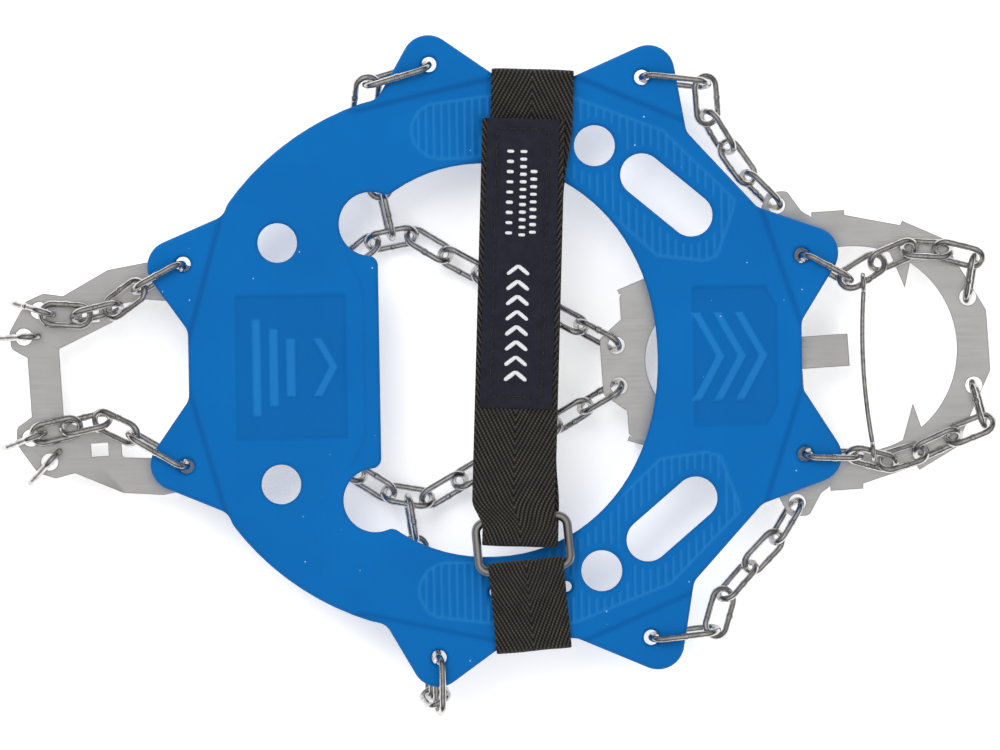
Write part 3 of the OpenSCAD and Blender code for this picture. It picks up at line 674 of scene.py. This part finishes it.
def build_upper_strap():
    loop = [(UPPER_LEG_Y, WEB_Z - 0.7), (UPPER_LEG_Y, UNDER_Z), (BAND_Y, UNDER_Z), (BAND_Y, WEB_Z)]
    path = round_corners(loop + [(FOLD_Y, WEB_Z)], 1.5)
    path += arc((FOLD_Y, FOLD_Z), FOLD_R, 270, 180)[1:]
    piece = ribbon("strap_webbing", path, upper, upper_width, upper_shift, ripple=0.06)
    piece.data.materials.append(WEBBING)
    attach(piece, "harness")
    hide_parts("strap_web")

    flap = arc((FOLD_Y, FOLD_Z), FOLD_R, 180, 90)
    flap += round_corners([(FOLD_Y + 1, FLAP_Z), (-112, FLAP_Z), (-104, FLAP_TOP_Z), (0, FLAP_TOP_Z)], 6)
    piece = ribbon("strap_flap_webbing", flap, upper,
                   lambda s: FOLD_W + (WEB_W - FOLD_W) * smooth((s[:, 0] + 124) / 8),
                   lambda s: FLAP_SHIFT * smooth((s[:, 0] + 125) / 9), ripple=0.05)
    piece.data.materials.append(WEBBING)
    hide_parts("strap_flap")
    start, end = upper([[0, FOLD_Y - FOLD_R, FLAP_Z], [0, -120.5, FLAP_Z]]) * MM
    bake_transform(piece)


LOWER_W = 22.4
LOWER_OUTER_Y = -32.2
LOWER_LEG_Y = -13.97
LOOP_R = 2.25


def build_lower_loop():
    bar = (RING_BAR_Y, BAR_Z)
    under = [(LOWER_LEG_Y, WEB_Z - 0.5), (LOWER_LEG_Y, UNDER_Z), (LOWER_OUTER_Y, UNDER_Z),
             (LOWER_OUTER_Y, WEB_Z), (-19.5, WEB_Z), (-14.5, WEB_Z + 1.9), (-9.2, 27.75)]
    path = round_corners(under, 1.6) + arc(bar, LOOP_R, 118, -90) + [(-11.5, BAR_Z - LOOP_R + 0.1)]

    def crease(x, centre):
        on_top = float(centre[1] > WEB_Z - 0.4)
        line = centre[0] + 18.2 - 0.13 * x
        groove = -0.55 * np.exp(-(line / 1.1) ** 2)
        swell = 0.3 * np.exp(-((line + 2.6) / 1.6) ** 2)
        return on_top * (groove + swell)
    piece = ribbon("strap_ring_loop", path, lower, LOWER_W, 0.3, step=0.5, ripple=0.12, crease=crease)
    piece.data.materials.append(WEBBING)
    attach(piece, "harness")
    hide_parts("strap_lower_loop")


# ---------------------------------------------------------------- label, stitches and hook tape
LABEL_W = 22.0
LABEL_L = 88.0
LABEL_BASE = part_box("label_patch")[0][2] / MM
LABEL_T = 0.62
SEAM_INSET = 3.3


def capsules(name, centres, directions, length, radius, place, flat=0.7, around=8):
    """One mesh of many short thread stitches lying along directions in the strap's plane."""
    profile = [(-0.5 * length, 0.0), (-0.46 * length, 0.55), (-0.36 * length, 0.9), (0, 1.0),
               (0.36 * length, 0.9), (0.46 * length, 0.55), (0.5 * length, 0.0)]
    points, faces, uv = [], [], []
    for centre, d in zip(centres, directions):
        d = np.array(d) / np.linalg.norm(d)
        n = np.array([-d[1], d[0]])
        base = len(points)
        for s, r in profile:
            for a in np.linspace(0, 2 * math.pi, around, endpoint=False):
                off = d * s + n * r * radius * math.cos(a)
                rise = flat * r * radius * math.sin(a)
                points.append((centre[0] + off[0], centre[1] + off[1], centre[2] + rise))
                uv.append((s, a * radius))
        for k in range(len(profile) - 1):
            for i in range(around):
                a, b = base + k * around + i, base + k * around + (i + 1) % around
                faces.append((a, a + around, b + around, b))
    piece = make_object(name, place(points), faces, uv)
    clean = bmesh.new()
    clean.from_mesh(piece.data)
    bmesh.ops.remove_doubles(clean, verts=clean.verts, dist=1e-7)
    clean.to_mesh(piece.data)
    clean.free()
    piece.data.shade_smooth()
    return piece


def seam_line(ends, pitch):
    """Evenly spaced stitch places and directions along a polyline in the strap's plane."""
    places, directions = [], []
    for a, b in zip(ends, ends[1:]):
        a, b = np.array(a, float), np.array(b, float)
        count = max(1, round(np.linalg.norm(b - a) / pitch))
        for k in range(count):
            places.append(a + (b - a) * (k + 0.5) / count)
            directions.append(b - a)
    return places, directions


def build_label():
    step = 0.5
    us = np.linspace(-0.5, 0.5, int(LABEL_W / step))
    vs = np.linspace(0, 1, int(LABEL_L / step))
    u, v = np.meshgrid(us * LABEL_W, -LABEL_L * vs, indexing="ij")
    edge = np.minimum(LABEL_W / 2 - abs(u), np.minimum(-v, LABEL_L + v))
    groove = 0.2 * np.exp(-((edge - SEAM_INSET) / 0.55) ** 2)
    puff = 0.16 * smooth((edge - SEAM_INSET) / 3) + 0.05 * np.sin(v * 0.5 + u * 0.2) * smooth(edge / 2)
    top = LABEL_T + puff - groove - 0.25 * (1 - smooth(edge / 0.6))
    flat = np.column_stack([u.ravel() + FLAP_SHIFT, v.ravel()])
    upper_points = np.column_stack([flat, LABEL_BASE + top.ravel()])
    lower_points = np.column_stack([flat, np.full(len(flat), LABEL_BASE)])
    rows, cols = u.shape
    index = np.arange(rows * cols).reshape(rows, cols)
    corners = [index[:-1, :-1], index[:-1, 1:], index[1:, 1:], index[1:, :-1]]
    quads = np.column_stack([c.ravel() for c in corners])
    count = rows * cols
    rim = np.concatenate([index[:, 0], index[-1, 1:], index[-2::-1, -1], index[0, -2:0:-1]])
    walls = [(a, b, b + count, a + count) for a, b in zip(rim, np.roll(rim, -1))]
    faces = quads[:, ::-1].tolist() + (quads + count).tolist() + [tuple(int(i) for i in w) for w in walls]
    uv = np.column_stack([u.ravel() + 40, v.ravel() + 200])
    points = upper(np.vstack([upper_points, lower_points]))
    piece = make_object("label_cloth", points, faces, np.vstack([uv, uv]), 50)
    mesh = bmesh.new()
    mesh.from_mesh(piece.data)
    bmesh.ops.recalc_face_normals(mesh, faces=mesh.faces)
    mesh.to_mesh(piece.data)
    mesh.free()
    piece.data.materials.append(LABEL)
    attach(piece, "strap_flap")
    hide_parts("label_patch")

    x, y0, y1 = LABEL_W / 2 - SEAM_INSET, -SEAM_INSET, SEAM_INSET - LABEL_L
    corners = [(-x, y0), (x, y0), (x, y1), (-x, y1), (-x, y0)]
    places, directions = seam_line(corners, 2.9)
    centres = [(p[0] + FLAP_SHIFT, p[1], LABEL_BASE + LABEL_T + 0.02) for p in places]
    seam = capsules("label_seam", centres, directions, 2.1, 0.34, upper)
    seam.data.materials.append(STITCH)
    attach(seam, "strap_flap")

    # Plain woven marks: rows of short bars and a chevron, no lettering
    centres, directions = [], []
    top_z = LABEL_BASE + LABEL_T + 0.14
    for row, (x, first, last) in enumerate(((-3.6, -10, -36), (0.4, -10, -36), (3.6, -16, -36))):
        for y in np.arange(first, last, -3.1 if row == 0 else -2.3):
            centres.append((x + FLAP_SHIFT, y, top_z))
            directions.append((1, 0))
    bars = capsules("label_marks_fine", centres, directions, 2.2, 0.55, upper, flat=0.3)
    centres, directions = [], []
    for y in np.arange(-46, -80, -4.6):
        for s in (-1, 1):
            centres.append((FLAP_SHIFT + s * 1.6 - 0.4, y, top_z))
            directions.append((1, -0.8 * s))
    arrows = capsules("label_marks_chevrons", centres, directions, 4.6, 0.7, upper, flat=0.25)
    for piece in (bars, arrows):
        piece.data.materials.append(MARK)
        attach(piece, "strap_flap")


def build_hook_tape():
    low, high = (np.array(c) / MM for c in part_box("hook_pad"))
    base_z, top_z = low[2], high[2]
    path = [(-85, top_z - 0.22), (-1, top_z - 0.22)]
    tape = ribbon("hook_tape", path, upper, 21.6, FLAP_SHIFT, thickness=0.4, step=1.2, ripple=0.0)
    centres, directions = [], []
    for row, y in enumerate(np.arange(-84, -1.6, 1.5)):
        for x in np.arange(-9.9, 10, 1.5):
            centres.append((x + FLAP_SHIFT + 0.35 * (row % 2), y, base_z + 0.28))
            directions.append((0.25, 1))
    hooks = capsules("hook_tape_hooks", centres, directions, 0.95, 0.24, upper, flat=0.9, around=6)
    for piece in (tape, hooks):
        piece.data.materials.append(HOOKS)
        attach(piece, "strap_flap")
    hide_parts("hook_pad")


# ---------------------------------------------------------------- steel
def refined_plate(name, node, body, broken=0.32):
    """The stamped plate with its edges broken, as a new mesh over the same shape."""
    mesh = NODES[node].data.copy()
    mesh.name = name
    work = bmesh.new()
    work.from_mesh(mesh)
    bmesh.ops.remove_doubles(work, verts=work.verts, dist=2e-6)
    bmesh.ops.dissolve_limit(work, angle_limit=math.radians(1), verts=work.verts, edges=work.edges)
    sharp = [e for e in work.edges if len(e.link_faces) == 2 and e.calc_face_angle(0) > math.radians(40)]
    bmesh.ops.bevel(work, geom=sharp, offset=broken * MM, segments=3, profile=0.6, affect="EDGES",
                    clamp_overlap=True)
    bmesh.ops.triangulate(work, faces=[f for f in work.faces if len(f.verts) > 4])
    work.to_mesh(mesh)
    work.free()
    if "custom_normal" in mesh.attributes:
        mesh.attributes.remove(mesh.attributes["custom_normal"])
    mesh.shade_smooth()
    mesh.set_sharp_from_angle(angle=math.radians(35))
    mesh.materials.clear()
    mesh.materials.append(PLATE)
    piece = bpy.data.objects.new(name, mesh)
    bpy.context.scene.collection.objects.link(piece)
    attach(piece, body)
    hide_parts(node)


def islands(obj):
    """Vertex arrays in mm of a node's separate solids."""
    work = bmesh.new()
    work.from_mesh(obj.data)
    bmesh.ops.remove_doubles(work, verts=work.verts, dist=2e-6)
    seen, found = set(), []
    for start in work.verts:
        if start.index in seen:
            continue
        stack, group = [start], []
        seen.add(start.index)
        while stack:
            vertex = stack.pop()
            group.append(tuple(vertex.co))
            for edge in vertex.link_edges:
                other = edge.other_vert(vertex)
                if other.index not in seen:
                    seen.add(other.index)
                    stack.append(other)
        found.append(np.array(group) / MM)
    work.free()
    return found


def weld_bead(name, obj, body):
    """Butt weld on one side wire of each link: a low uneven collar."""
    points, faces = [], []
    for cloud in islands(obj):
        centre = (cloud.max(0) + cloud.min(0)) / 2
        centre = cloud.mean(0)
        axes = np.linalg.svd(cloud - centre, full_matrices=False)[2]
        along, across, normal = axes
        half = np.abs((cloud - centre) @ across).max() - 1.0
        origin = centre + half * across
        base, around = len(points), 20
        stations = [(-1.0, 0.99), (-0.75, 1.04), (-0.5, 1.13), (-0.22, 1.17), (0, 1.09),
                    (0.22, 1.17), (0.5, 1.13), (0.75, 1.04), (1.0, 0.99)]
        for s, r in stations:
            for a in np.linspace(0, 2 * math.pi, around, endpoint=False):
                bumpy = r + (0.03 * math.sin(3 * a + s) if 0.9 > abs(s) else 0)
                points.append(origin + s * along + bumpy * (math.cos(a) * across + math.sin(a) * normal))
        for k in range(len(stations) - 1):
            for i in range(around):
                a, b = base + k * around + i, base + k * around + (i + 1) % around
                faces.append((a, b, b + around, a + around))
        last = base + (len(stations) - 1) * around
        faces.append([base + i for i in range(around)][::-1])
        faces.append([last + i for i in range(around)])
    piece = make_object(name, points, faces, smooth_angle=50)
    fix = bmesh.new()
    fix.from_mesh(piece.data)
    bmesh.ops.recalc_face_normals(fix, faces=fix.faces)
    fix.to_mesh(piece.data)
    fix.free()
    piece.data.materials.append(CHAIN)
    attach(piece, body)


def finish_steel():
    refined_plate("front_plate_stamped", "front_plate", "front_plate")
    refined_plate("heel_plate_stamped", "heel_plate", "heel_plate")
    for name, obj in NODES.items():
        if name.startswith(("chain_", "tab_link_", "heel_links_", "junction_")):
            obj.data.materials.clear()
            obj.data.materials.append(CHAIN)
            weld_bead("weld_" + name, obj, obj["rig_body"])
    NODES["toe_wire"].data.materials.clear()
    NODES["toe_wire"].data.materials.append(CHAIN)
    NODES["strap_ring"].data.materials.clear()
    NODES["strap_ring"].data.materials.append(RING)


# ---------------------------------------------------------------- floor, light and camera
def build_floor():
    work = bmesh.new()
    bmesh.ops.create_grid(work, x_segments=2, y_segments=2, size=4.0)
    mesh = bpy.data.meshes.new("floor")
    work.to_mesh(mesh)
    work.free()
    floor = bpy.data.objects.new("floor", mesh)
    floor.location.z = -0.0006
    bpy.context.scene.collection.objects.link(floor)
    n = Nodes("floor_pale")
    mesh.materials.append(n.finish(Base_Color=(0.9, 0.9, 0.9, 1), Roughness=0.9,
                                  Emission_Color=(1, 1, 1, 1), Emission_Strength=0.32))


def area_light(name, place, size, power):
    data = bpy.data.lights.new(name, "AREA")
    data.size = size
    data.energy = power
    light = bpy.data.objects.new(name, data)
    light.location = place
    light.rotation_euler = (-Vector(place)).to_track_quat("-Z", "Y").to_euler()
    light.visible_glossy = False
    bpy.context.scene.collection.objects.link(light)


def build_light():
    world = bpy.data.worlds.new("studio")
    bpy.context.scene.world = world
    world.use_nodes = True
    tree = world.node_tree
    background = tree.nodes["Background"]
    coord = tree.nodes.new("ShaderNodeTexCoord")
    split = tree.nodes.new("ShaderNodeSeparateXYZ")
    ramp = tree.nodes.new("ShaderNodeValToRGB")
    path = tree.nodes.new("ShaderNodeLightPath")
    mix = tree.nodes.new("ShaderNodeMix")
    mix.data_type = "RGBA"
    tree.links.new(coord.outputs["Generated"], split.inputs[0])
    tree.links.new(split.outputs[2], ramp.inputs[0])
    stops = ((0.0, 0.75), (0.12, 0.5), (0.3, 0.05), (0.52, 0.06), (0.64, 0.42), (0.9, 0.5), (1.0, 1.0))
    while len(ramp.color_ramp.elements) < len(stops):
        ramp.color_ramp.elements.new(0.5)
    for element, (place, level) in zip(ramp.color_ramp.elements, stops):
        element.position = place
        element.color = (level, level, level, 1)
    mix.inputs[6].default_value = (1, 1, 1, 1)
    tree.links.new(path.outputs["Is Glossy Ray"], mix.inputs[0])
    tree.links.new(ramp.outputs[0], mix.inputs[7])
    tree.links.new(mix.outputs[2], background.inputs[0])
    background.inputs[1].default_value = 0.75
    area_light("key", (-0.5, 0.7, 1.3), 0.9, 13)
    area_light("fill", (0.8, -0.5, 1.1), 1.2, 6)


def build_camera():
    """Straight above, turned one degree, with a long lens."""
    data = bpy.data.cameras.new("camera")
    data.lens = 700
    data.sensor_width = 36
    view_w = 0.305
    distance = view_w * data.lens / data.sensor_width
    camera = bpy.data.objects.new("camera", data)
    camera.location = ((DRAWN_AT[0] - 0.1) * MM, (DRAWN_AT[1] - 4.6) * MM, distance)
    camera.rotation_euler = (0, 0, math.radians(-1))
    data.clip_start, data.clip_end = 0.5, 50
    bpy.context.scene.collection.objects.link(camera)
    bpy.context.scene.camera = camera
    bpy.context.scene.view_settings.view_transform = "Standard"


build_harness()
build_upper_strap()
build_lower_loop()
build_label()
build_hook_tape()
finish_steel()
build_floor()
build_light()
build_camera()
